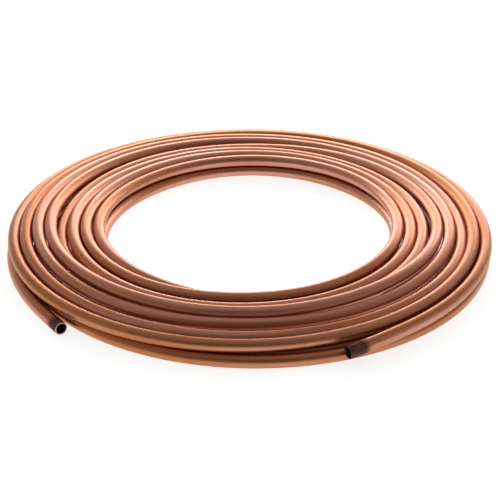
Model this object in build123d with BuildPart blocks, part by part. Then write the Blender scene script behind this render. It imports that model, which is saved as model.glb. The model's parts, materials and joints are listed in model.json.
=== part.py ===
"""Copper tube wound into a flat coil of two layers, lying on the floor, both free ends outside.

One length of tube, so one node. The wound part is one turned solid with its eye, and the turns
stand out of it as ridges. The two cut ends are bored out. Millimetres, +Z up, front at -Y.
"""
import os
from math import cos, radians, sin, tan

from build123d import *

# The tube: three eighths of an inch outside, soft copper. Where it is bent, it has eight sides.
tube_od = 9.525
tube_wall = 0.81
tube_sides = 8
half_turn = 180

# The upper layer: turns side by side, the innermost one a little apart.
inner_turn_radius = 115.9
upper_turns = 8
turn_gap = 0.2
inner_turn_gap = 2.25

# The lower layer: fewer turns, evenly apart.
lower_turns = 7
lower_turn_gap = 2.08

# The upper free end: sags outside the coil at the front right.
upper_tail_radius = 199.3
upper_tail_arc = 60.3
upper_tail_sag = 1.56

# The lower free end: lies on the floor and leaves the coil at the front left.
lower_tail_radius = 200.7
lower_tail_arc = 38.1
lower_tail_sag = 0

# The straight, round stretch at each cut end.
straight_end = 25.0

tube_radius = tube_od / 2
bore_radius = tube_radius - tube_wall
lower_level = tube_radius
upper_level = lower_level + tube_od
middle = tube_od

# The eight-sided section: half of a flat side, and the turn that lays one flat side on top.
flat_side_up = half_turn / tube_sides
half_side = tube_radius * tan(radians(flat_side_up))
groove_slope = tan(radians(2 * flat_side_up))

# The middle of each turn at the back of its layer, from the eye outwards.
upper_pitch = tube_od + turn_gap
lower_pitch = tube_od + lower_turn_gap
second_turn_radius = inner_turn_radius + tube_od + inner_turn_gap
upper_ridges = [second_turn_radius + turn * upper_pitch for turn in range(upper_turns - 1)]
upper_ridges = [inner_turn_radius] + upper_ridges
lower_ridges = [inner_turn_radius + turn * lower_pitch for turn in range(lower_turns)]

# The back and front halves meet in one upright plane, which puts the origin halfway between the back
# of the coil and the upper free end at its front.
back_reach = upper_ridges[-1] + tube_radius
front_reach = (upper_tail_radius + tube_radius) * sin(radians(upper_tail_arc))
front_reach += straight_end * cos(radians(upper_tail_arc))
seam_y = (front_reach - back_reach) / 2
seam = Plane.XZ.offset(-seam_y)

with BuildPart() as tube_coil:
    # Each layer is a back half and a front half with a ridge for each turn. The halves turn about
    # centres half a pitch apart, so the ridges join into a spiral. The lower layer is mirrored.
    for up, pitch, back_ridges in ((1, upper_pitch, upper_ridges), (-1, lower_pitch, lower_ridges)):
        front_ridges = [radius - pitch / 2 for radius in back_ridges[1:]]
        for side, ridges in ((1, back_ridges), (-1, front_ridges)):
            centre_x = up * side * pitch / 4
            inside, outside = ridges[0], ridges[-1]
            outline = [(inside - half_side, 0), (inside - tube_radius, tube_radius - half_side)]
            outline += [(inside - tube_radius, tube_radius + half_side)]
            for radius, following in zip(ridges, ridges[1:]):
                groove_depth = ((following - radius) / 2 - half_side) * groove_slope
                outline += [(radius - half_side, tube_od), (radius + half_side, tube_od)]
                outline += [((radius + following) / 2, tube_od - groove_depth)]
            outline += [(outside - half_side, tube_od), (outside + half_side, tube_od)]
            outline += [(outside + tube_radius, tube_radius + half_side)]
            outline += [(outside + tube_radius, tube_radius - half_side), (outside + half_side, 0)]
            with BuildSketch(seam):
                with BuildLine():
                    Polyline(*[(centre_x + x, middle + up * z) for x, z in outline], close=True)
                make_face()
            revolve(axis=Axis((centre_x, seam_y, 0), (0, 0, side)), revolution_arc=half_turn)

    # The innermost half turn at the front runs down from the upper layer to the lower one.
    crossing_left = inner_turn_radius - upper_pitch / 4
    crossing_right = inner_turn_radius - lower_pitch / 4
    crossing_x = (crossing_right - crossing_left) / 2
    crossing_reach = (crossing_right + crossing_left) / 2
    with BuildSketch(seam):
        with Locations((crossing_right, lower_level)):
            RegularPolygon(tube_radius, tube_sides, major_radius=False, rotation=flat_side_up)
    crossing_axis = Axis((crossing_x, seam_y, middle), (-tube_radius, 0, -crossing_reach))
    revolve(axis=crossing_axis, revolution_arc=half_turn)

    # Both free ends: an arc that leaves the outermost turn, then a straight stretch, bored out.
    upper_start = upper_ridges[-1] + upper_pitch / 4
    lower_start = lower_ridges[-1] + lower_pitch / 4
    for hand, reach, level, radius, arc, sag in (
        (1, upper_start, upper_level, upper_tail_radius, upper_tail_arc, upper_tail_sag),
        (-1, lower_start, lower_level, lower_tail_radius, lower_tail_arc, lower_tail_sag),
    ):
        start = Vector(hand * reach, seam_y, level)
        inward = Vector(-hand, 0, 0).rotate(Axis.Y, -hand * sag)
        tail_axis = Axis(start + inward * radius, Vector(0, -1, 0).cross(inward))
        heading = Vector(0, -1, 0).rotate(tail_axis, arc)
        spoke = (start - tail_axis.position).rotate(tail_axis, arc)
        with BuildSketch(seam):
            with Locations((start.X, start.Z)):
                RegularPolygon(tube_radius, tube_sides, major_radius=False, rotation=flat_side_up)
        revolve(axis=tail_axis, revolution_arc=arc)
        for section_radius, mode in ((tube_radius, Mode.ADD), (bore_radius, Mode.SUBTRACT)):
            with BuildSketch(Plane(tail_axis.position + spoke, x_dir=spoke, z_dir=heading)):
                Circle(section_radius)
            extrude(amount=straight_end, mode=mode)

os.makedirs("parts", exist_ok=True)
tube_coil.part.label = "tube_coil"
export_step(tube_coil.part, "parts/tube_coil.step")
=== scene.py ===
"""A flat coil of soft copper tube, wound in two layers, lying on white paper under soft studio light."""
import json
from math import cos, pi, radians, sin

import bpy
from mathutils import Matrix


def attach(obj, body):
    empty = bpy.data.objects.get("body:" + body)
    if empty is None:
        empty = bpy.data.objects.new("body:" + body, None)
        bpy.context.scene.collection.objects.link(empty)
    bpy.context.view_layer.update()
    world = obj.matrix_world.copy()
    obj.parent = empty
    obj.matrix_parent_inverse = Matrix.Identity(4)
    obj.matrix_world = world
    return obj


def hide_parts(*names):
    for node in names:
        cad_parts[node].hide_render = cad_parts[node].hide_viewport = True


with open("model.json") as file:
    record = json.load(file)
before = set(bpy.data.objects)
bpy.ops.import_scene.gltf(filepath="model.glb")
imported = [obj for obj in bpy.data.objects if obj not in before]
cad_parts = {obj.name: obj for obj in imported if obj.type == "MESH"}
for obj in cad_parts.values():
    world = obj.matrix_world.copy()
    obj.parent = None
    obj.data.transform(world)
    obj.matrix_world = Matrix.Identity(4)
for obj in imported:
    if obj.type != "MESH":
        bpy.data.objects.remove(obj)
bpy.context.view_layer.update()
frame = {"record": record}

# The coil: one length of soft drawn copper tube, three eighths of an inch outside, wound by hand. It
# starts at the upper free end, runs inward round the upper layer, drops to the floor at the front left
# of the eye and runs outward again round the lower layer to the lower free end.
tube_radius = frame["record"]["mounts"][0]["dims"]["r_mm"] / 1000
tube_od = 2 * tube_radius
tube_wall = 0.00081
tube_sides = 24
coil_centre_y = -0.00057

# Where the middle of the tube lies at each eighth of a turn, in tube diameters from the coil's axis and
# above the floor. A row is one turn from the right round the back. The turns lie as loosely as they fell.
station_turn = 45
floor_level_share = 0.5
upper_tail_radius_shares = [20.68, 19.96]
upper_tail_level_shares = [1.30, 1.48]
upper_radius_shares = [
    [19.445, 19.43, 19.345, 19.63, 19.44, 19.38, 19.06, 18.735],
    [18.475, 18.475, 18.37, 18.66, 18.485, 18.28, 18.035, 17.74],
    [17.535, 17.47, 17.365, 17.675, 17.50, 16.99, 16.53, 16.47],
    [16.585, 16.475, 16.35, 16.675, 16.49, 15.93, 15.62, 15.36],
    [15.59, 15.46, 15.375, 15.545, 15.56, 15.49, 15.05, 14.62],
    [14.37, 14.45, 14.35, 14.53, 14.61, 14.48, 14.06, 13.63],
    [13.38, 13.48, 13.34, 13.515, 13.59, 13.16, 12.51, 12.24],
    [12.375, 12.47, 12.33, 12.425, 12.50, 12.18, 11.45, 11.19],
]
upper_level_shares = [
    [1.50, 1.40, 1.35, 1.35, 1.50, 1.50, 1.50, 1.60],
    [1.77, 1.74, 1.66, 1.61, 1.78, 1.55, 1.52, 1.46],
    [1.40, 1.63, 1.69, 1.77, 1.94, 1.70, 1.68, 1.65],
    [1.72, 1.75, 1.80, 1.85, 1.97, 2.09, 2.13, 2.10],
    [1.77, 1.76, 1.52, 1.48, 1.30, 1.20, 1.32, 1.45],
    [1.50, 1.47, 1.63, 1.60, 1.64, 1.50, 1.50, 1.50],
    [1.58, 1.65, 1.77, 1.67, 1.55, 1.50, 1.50, 1.50],
    [1.60, 1.73, 1.71, 1.55, 1.55, 1.34, 0.60, 0.50],
]
lower_radius_shares = [
    [12.30, 12.60, 12.76, 12.20, 12.30, 12.78, 12.48, 12.20],
    [13.40, 13.68, 13.78, 13.40, 13.33, 13.78, 13.48, 13.24],
    [14.50, 14.72, 14.80, 14.50, 14.34, 14.76, 14.48, 14.26],
    [15.55, 15.82, 15.85, 15.82, 16.20, 16.43, 17.05, 16.70],
    [16.70, 16.88, 16.85, 16.85, 17.40, 17.52, 18.50, 18.70],
    [18.38, 17.96, 17.83, 18.02, 18.42, 19.07, 19.53, 19.77],
    [19.35, 18.97, 18.83, 19.05, 19.42, 20.22, 22.00, 22.40],
]
radius_shares = upper_tail_radius_shares + sum(upper_radius_shares + lower_radius_shares, [])
level_shares = upper_tail_level_shares + sum(upper_level_shares, [])
level_shares += [floor_level_share] * (len(radius_shares) - len(level_shares))
first_station_turn = -station_turn * len(upper_tail_radius_shares)

# Both cut ends bend outward over their last stretch, and the upper one also bends down.
upper_end_turn = -70.4
upper_bend_turn = -45
upper_bend_power = 4
upper_bend_out_share = 0.25
upper_bend_down_share = 0.20
lower_end_turn = 5267.8
lower_bend_turn = 5254
lower_bend_power = 3
lower_bend_out_share = 0.20


def share_at(shares, turn):
    """The value at an angle along the tube, on a smooth line through the stations."""
    place = (turn - first_station_turn) / station_turn
    index = min(max(int(place), 0), len(shares) - 2)
    t = place - index
    before, here, there = shares[max(index - 1, 0)], shares[index], shares[index + 1]
    after = shares[min(index + 2, len(shares) - 1)]
    slope_here, slope_there = (there - before) / 2, (after - here) / 2
    bend = 2 * (here - there) + slope_here + slope_there
    return here + t * slope_here + t * t * (there - here - slope_here - bend) + t * t * t * bend


path_step = 3
path_count = round((lower_end_turn - upper_end_turn) / path_step)
path_points = []
for index in range(path_count + 1):
    turn = upper_end_turn + (lower_end_turn - upper_end_turn) * index / path_count
    upper_bend = max(0, (turn - upper_bend_turn) / (upper_end_turn - upper_bend_turn)) ** upper_bend_power
    lower_bend = max(0, (turn - lower_bend_turn) / (lower_end_turn - lower_bend_turn)) ** lower_bend_power
    reach_share = share_at(radius_shares, turn)
    reach_share += upper_bend_out_share * upper_bend + lower_bend_out_share * lower_bend
    level_share = max(share_at(level_shares, turn), floor_level_share) - upper_bend_down_share * upper_bend
    x = reach_share * tube_od * cos(radians(turn))
    y = coil_centre_y + reach_share * tube_od * sin(radians(turn))
    path_points.append((x, y, level_share * tube_od))

path_curve = bpy.data.curves.new("winding_path", "CURVE")
path_curve.dimensions = "3D"
path_curve.twist_mode = "Z_UP"
path_line = path_curve.splines.new("POLY")
path_line.points.add(path_count)
for point, place in zip(path_line.points, path_points):
    point.co = (*place, 1)
winding_path = bpy.data.objects.new("winding_path", path_curve)
bpy.context.scene.collection.objects.link(winding_path)

# The tube starts as one short open ring. A row of rings makes the straight tube, which is wound along
# the path. Then it gets its wall, and the cut rims are rounded a little.
segment_aim = 0.009
tube_length = path_line.calc_length()
segment_count = round(tube_length / segment_aim)
segment_length = tube_length / segment_count
merge_distance = segment_length / 100
rim_rounding = tube_wall / 3
rim_angle = radians(60)
smooth_angle = radians(40)

bpy.ops.object.select_all(action="DESELECT")
bpy.ops.mesh.primitive_cylinder_add(
    vertices=tube_sides, radius=tube_radius, depth=segment_length, end_fill_type="NOTHING",
    location=(0, 0, segment_length / 2),
)
coil = bpy.context.object
coil.name = coil.data.name = "copper_tube_coil"
bpy.ops.object.transform_apply(location=True)

# The skin, the bore and the cut rims each have a finish. The wall and the rounding hand them out.
finishes = ("drawn_copper", "dark_bore", "cut_edge")
for name in finishes:
    coil.data.materials.append(bpy.data.materials.new(name))

row = coil.modifiers.new("row", "ARRAY")
row.count = segment_count
row.use_relative_offset = False
row.use_constant_offset = True
row.constant_offset_displace = (0, 0, segment_length)
row.offset_v = 1
row.use_merge_vertices = True
row.merge_threshold = merge_distance
wind = coil.modifiers.new("wind", "CURVE")
wind.object = winding_path
wind.deform_axis = "POS_Z"
wall = coil.modifiers.new("wall", "SOLIDIFY")
wall.thickness = tube_wall
wall.offset = -1
wall.use_rim = True
wall.material_offset = finishes.index("dark_bore")
wall.material_offset_rim = finishes.index("cut_edge")
rims = coil.modifiers.new("rims", "BEVEL")
rims.width = rim_rounding
rims.segments = 2
rims.material = finishes.index("cut_edge")
rims.limit_method = "ANGLE"
rims.angle_limit = rim_angle
for modifier in list(coil.modifiers):
    bpy.ops.object.modifier_apply(modifier=modifier.name)
bpy.ops.object.shade_smooth_by_angle(angle=smooth_angle)
bpy.data.objects.remove(winding_path)


def bare_shader(material):
    """A material's node tree, emptied, and in it one shader wired to the output."""
    material.use_nodes = True
    tree = material.node_tree
    tree.nodes.clear()
    output = tree.nodes.new("ShaderNodeOutputMaterial")
    shader = tree.nodes.new("ShaderNodeBsdfPrincipled")
    tree.links.new(shader.outputs["BSDF"], output.inputs["Surface"])
    return tree, shader


def along_tube(tree):
    """The place on the tube as it was before winding, in metres, straight along z from the upper end."""
    tube_map = tree.nodes.new("ShaderNodeUVMap")
    tube_map.uv_map = "UVMap"
    metres = tree.nodes.new("ShaderNodeMapping")
    metres.inputs["Scale"].default_value = (2 * pi, segment_length, 1)
    parts = tree.nodes.new("ShaderNodeSeparateXYZ")
    place = tree.nodes.new("ShaderNodeCombineXYZ")
    tree.links.new(tube_map.outputs["UV"], metres.inputs["Vector"])
    tree.links.new(metres.outputs["Vector"], parts.inputs["Vector"])
    for axis, turned in (("X", "COSINE"), ("Y", "SINE")):
        wave = tree.nodes.new("ShaderNodeMath")
        wave.operation = turned
        reach = tree.nodes.new("ShaderNodeMath")
        reach.operation = "MULTIPLY"
        reach.inputs[1].default_value = tube_radius
        tree.links.new(parts.outputs["X"], wave.inputs[0])
        tree.links.new(wave.outputs["Value"], reach.inputs[0])
        tree.links.new(reach.outputs["Value"], place.inputs[axis])
    tree.links.new(parts.outputs["Y"], place.inputs["Z"])
    return place, parts.outputs["Y"]


def mottle(tree, place, spots_across, spots_along, detail):
    """Noise with so many spots in a metre across the tube and along it."""
    spots = tree.nodes.new("ShaderNodeMapping")
    spots.inputs["Scale"].default_value = (spots_across, spots_across, spots_along)
    noise = tree.nodes.new("ShaderNodeTexNoise")
    noise.inputs["Scale"].default_value = 1.0
    noise.inputs["Detail"].default_value = detail
    tree.links.new(place.outputs["Vector"], spots.inputs["Vector"])
    tree.links.new(spots.outputs["Vector"], noise.inputs["Vector"])
    return noise.outputs["Fac"]


def ranged(tree, value, from_min, from_max, to_min, to_max, smooth=False):
    """A value taken from one range to another, evenly or with soft ends."""
    node = tree.nodes.new("ShaderNodeMapRange")
    if smooth:
        node.interpolation_type = "SMOOTHSTEP"
    limits = {"From Min": from_min, "From Max": from_max, "To Min": to_min, "To Max": to_max}
    for name, number in limits.items():
        node.inputs[name].default_value = number
    tree.links.new(value, node.inputs["Value"])
    return node.outputs["Result"]


def joined(tree, operation, first, second):
    """Two values put together by one sum."""
    node = tree.nodes.new("ShaderNodeMath")
    node.operation = operation
    tree.links.new(first, node.inputs[0])
    tree.links.new(second, node.inputs[1])
    return node.outputs["Value"]


# The skin is bare copper with draw lines along it, pinker and browner in long patches. All round the outer
# turns it is also browner: painted shade, for the shaded floor these turns reflect. Both ends are stained
# dark where they were heated.
brown_copper = (0.55, 0.210, 0.088, 1)
plain_copper = (0.64, 0.292, 0.188, 1)
pink_copper = (0.70, 0.365, 0.258, 1)
stain_brown = (0.115, 0.046, 0.032, 1)
brown_share = 0.20
plain_share = 0.50
pink_share = 0.70
noise_low_share = 0.3
noise_high_share = 0.7
patch_low_share = 0.2
patch_high_share = 0.8
outer_turns_length = 1.6
outer_turns_fade_end = 2.8
upper_painted_shade_share = 0.17
lower_painted_shade_share = 0.22
upper_stain_length = 0.011
upper_stain_fade_end = 0.017
lower_stain_length = 0.007
lower_stain_fade_end = 0.014
stain_weakest_share = 0.75
stain_strongest_share = 1.1
smooth_line_roughness = 0.35
rough_line_roughness = 0.47
stain_added_roughness = 0.2
stain_metallic = 0.5
draw_line_strength = 0.25
draw_line_depth = 0.0001

tree, shader = bare_shader(coil.data.materials["drawn_copper"])
place, along = along_tube(tree)
draw_lines = mottle(tree, place, spots_across=2600, spots_along=10, detail=2)
patches = mottle(tree, place, spots_across=170, spots_along=7, detail=4)
patches = ranged(tree, patches, noise_low_share, noise_high_share, patch_low_share, patch_high_share)

# Painted shade: the outer turns at both ends of the tube are made browner, for the shaded floor they
# reflect.
upper_outer_painted_shade = ranged(
    tree, along, outer_turns_length, outer_turns_fade_end, upper_painted_shade_share, 0, smooth=True,
)
lower_outer_painted_shade = ranged(
    tree, along, tube_length - outer_turns_fade_end, tube_length - outer_turns_length,
    0, lower_painted_shade_share, smooth=True,
)
patch_tone_and_painted_shade = joined(tree, "SUBTRACT", patches, joined(tree, "MAXIMUM", upper_outer_painted_shade, lower_outer_painted_shade))
tints = tree.nodes.new("ShaderNodeValToRGB")
tints.color_ramp.elements[0].position = brown_share
tints.color_ramp.elements[0].color = brown_copper
tints.color_ramp.elements[1].position = pink_share
tints.color_ramp.elements[1].color = pink_copper
tints.color_ramp.elements.new(plain_share).color = plain_copper
tree.links.new(patch_tone_and_painted_shade, tints.inputs["Fac"])

upper_stain = ranged(tree, along, upper_stain_length, upper_stain_fade_end, 1, 0, smooth=True)
lower_stain = ranged(
    tree, along, tube_length - lower_stain_fade_end, tube_length - lower_stain_length, 0, 1, smooth=True,
)
ragged = mottle(tree, place, spots_across=500, spots_along=240, detail=3)
ragged = ranged(
    tree, ragged, noise_low_share, noise_high_share, stain_weakest_share, stain_strongest_share,
)
stain = joined(tree, "MULTIPLY", joined(tree, "MAXIMUM", upper_stain, lower_stain), ragged)

skin = tree.nodes.new("ShaderNodeMix")
skin.data_type = "RGBA"
skin.inputs["B"].default_value = stain_brown
tree.links.new(stain, skin.inputs["Factor"])
tree.links.new(tints.outputs["Color"], skin.inputs["A"])
tree.links.new(skin.outputs["Result"], shader.inputs["Base Color"])

rough_lines = ranged(
    tree, draw_lines, noise_low_share, noise_high_share, smooth_line_roughness, rough_line_roughness,
)
rough_stain = ranged(tree, stain, 0, 1, 0, stain_added_roughness)
tree.links.new(joined(tree, "ADD", rough_lines, rough_stain), shader.inputs["Roughness"])
tree.links.new(ranged(tree, stain, 0, 1, 1, stain_metallic), shader.inputs["Metallic"])
grooves = tree.nodes.new("ShaderNodeBump")
grooves.inputs["Strength"].default_value = draw_line_strength
grooves.inputs["Distance"].default_value = draw_line_depth
tree.links.new(draw_lines, grooves.inputs["Height"])
tree.links.new(grooves.outputs["Normal"], shader.inputs["Normal"])

# Inside, the bore is near black, mottled with dark brown.
bore_black = (0.010, 0.006, 0.005, 1)
bore_brown = (0.035, 0.018, 0.012, 1)
bore_roughness = 0.6
tree, shader = bare_shader(coil.data.materials["dark_bore"])
place, along = along_tube(tree)
shader.inputs["Roughness"].default_value = bore_roughness
bore_tints = tree.nodes.new("ShaderNodeValToRGB")
bore_tints.color_ramp.elements[0].color = bore_black
bore_tints.color_ramp.elements[1].color = bore_brown
tree.links.new(mottle(tree, place, spots_across=400, spots_along=120, detail=3), bore_tints.inputs["Fac"])
tree.links.new(bore_tints.outputs["Color"], shader.inputs["Base Color"])

# The cut through the wall is stained at the upper end and bright at the lower one, with fine marks from
# the cutting wheel.
stained_rim = (0.16, 0.07, 0.05, 1)
bright_rim = (0.74, 0.37, 0.24, 1)
smooth_cut_roughness = 0.25
marked_cut_roughness = 0.45
tree, shader = bare_shader(coil.data.materials["cut_edge"])
place, along = along_tube(tree)
shader.inputs["Metallic"].default_value = 1.0
rim_tints = tree.nodes.new("ShaderNodeValToRGB")
rim_tints.color_ramp.elements[0].color = stained_rim
rim_tints.color_ramp.elements[1].color = bright_rim
tree.links.new(ranged(tree, along, 0, tube_length, 0, 1), rim_tints.inputs["Fac"])
tree.links.new(rim_tints.outputs["Color"], shader.inputs["Base Color"])
wheel_marks = mottle(tree, place, spots_across=1800, spots_along=1800, detail=2)
rough_cut = ranged(
    tree, wheel_marks, noise_low_share, noise_high_share, smooth_cut_roughness, marked_cut_roughness,
)
tree.links.new(rough_cut, shader.inputs["Roughness"])

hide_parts("tube_coil")
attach(coil, "root")

# The floor: a wide sheet of white paper, on which the coil lies loose. It shows white to the lens and
# in the copper, and keeps the coil's soft shadow.
floor_size = 12.0
paper_white = (0.80, 0.84, 0.86, 1)
glow_white = (0.95, 0.99, 1.0, 1)
glow_level = 0.77
bpy.ops.object.select_all(action="DESELECT")
bpy.ops.mesh.primitive_plane_add(size=floor_size, location=(0, 0, 0))
floor = bpy.context.object
floor.name = "floor"
paper = bpy.data.materials.new("white_paper")
paper.use_nodes = True
tree = paper.node_tree
tree.nodes.clear()
output = tree.nodes.new("ShaderNodeOutputMaterial")
sheet = tree.nodes.new("ShaderNodeBsdfDiffuse")
sheet.inputs["Color"].default_value = paper_white
glow = tree.nodes.new("ShaderNodeEmission")
glow.inputs["Color"].default_value = glow_white
seen_by = tree.nodes.new("ShaderNodeLightPath")
seen = joined(tree, "MAXIMUM", seen_by.outputs["Is Camera Ray"], seen_by.outputs["Is Glossy Ray"])
seen = joined(tree, "MAXIMUM", seen, seen_by.outputs["Is Transmission Ray"])
tree.links.new(ranged(tree, seen, 0, 1, 0, glow_level), glow.inputs["Strength"])
both = tree.nodes.new("ShaderNodeAddShader")
tree.links.new(sheet.outputs["BSDF"], both.inputs[0])
tree.links.new(glow.outputs["Emission"], both.inputs[1])
tree.links.new(both.outputs["Shader"], output.inputs["Surface"])
floor.data.materials.append(paper)

# The light: one softbox standing on edge close behind the coil, a little to the right. It is wide and
# low and leans over the coil.
softbox_place = (0.09, 0.30, 0.115)
softbox_tilt = radians(-75)
softbox_width = 0.68
softbox_height = 0.11
softbox_power = 0.78
bpy.ops.object.select_all(action="DESELECT")
bpy.ops.object.light_add(type="AREA", location=softbox_place, rotation=(softbox_tilt, 0, 0))
softbox = bpy.context.object
softbox.name = "softbox"
softbox.data.shape = "RECTANGLE"
softbox.data.size = softbox_width
softbox.data.size_y = softbox_height
softbox.data.energy = softbox_power

# The room: dim and warm all round, darkest behind the lens, and bright and white low down behind the
# coil. The levels run from the front of the room to its back.
room_lean = radians(25)
room_front = (0.12, 0.10, 0.09, 1)
room_back = (0.95, 0.92, 0.90, 1)
room_green_share = 0.9
room_blue_share = 0.84
room_level_shares = [(0.04, 0.14), (0.15, 0.28), (0.29, 0.41), (0.67, 0.41), (0.77, 0.45), (0.86, 0.92)]
world = bpy.data.worlds.new("dim_room")
bpy.context.scene.world = world
world.use_nodes = True
tree = world.node_tree
tree.nodes.clear()
output = tree.nodes.new("ShaderNodeOutputWorld")
room = tree.nodes.new("ShaderNodeBackground")
direction = tree.nodes.new("ShaderNodeTexCoord")
leaning = tree.nodes.new("ShaderNodeMapping")
leaning.inputs["Rotation"].default_value = (room_lean, 0, 0)
axes = tree.nodes.new("ShaderNodeSeparateXYZ")
fade = tree.nodes.new("ShaderNodeValToRGB")
fade.color_ramp.elements[0].color = room_front
fade.color_ramp.elements[1].color = room_back
for place, level in room_level_shares:
    colour = (level, room_green_share * level, room_blue_share * level, 1)
    fade.color_ramp.elements.new(place).color = colour
tree.links.new(direction.outputs["Generated"], leaning.inputs["Vector"])
tree.links.new(leaning.outputs["Vector"], axes.inputs["Vector"])
tree.links.new(ranged(tree, axes.outputs["Y"], -1, 1, 0, 1), fade.inputs["Fac"])
tree.links.new(fade.outputs["Color"], room.inputs["Color"])
tree.links.new(room.outputs["Background"], output.inputs["Surface"])

# The view: a long lens on a stand in front of the coil, level from side to side and looking down on
# the coil.
view_place = (0.0006, -0.8901, 0.467)
view_tilt = radians(61.783)
lens_length = 90.14
sensor_width = 36.0
bpy.ops.object.select_all(action="DESELECT")
bpy.ops.object.camera_add(location=view_place, rotation=(view_tilt, 0, 0))
camera = bpy.context.object
camera.data.lens = lens_length
camera.data.sensor_width = sensor_width
bpy.context.scene.camera = camera
bpy.context.scene.view_settings.view_transform = "Standard"
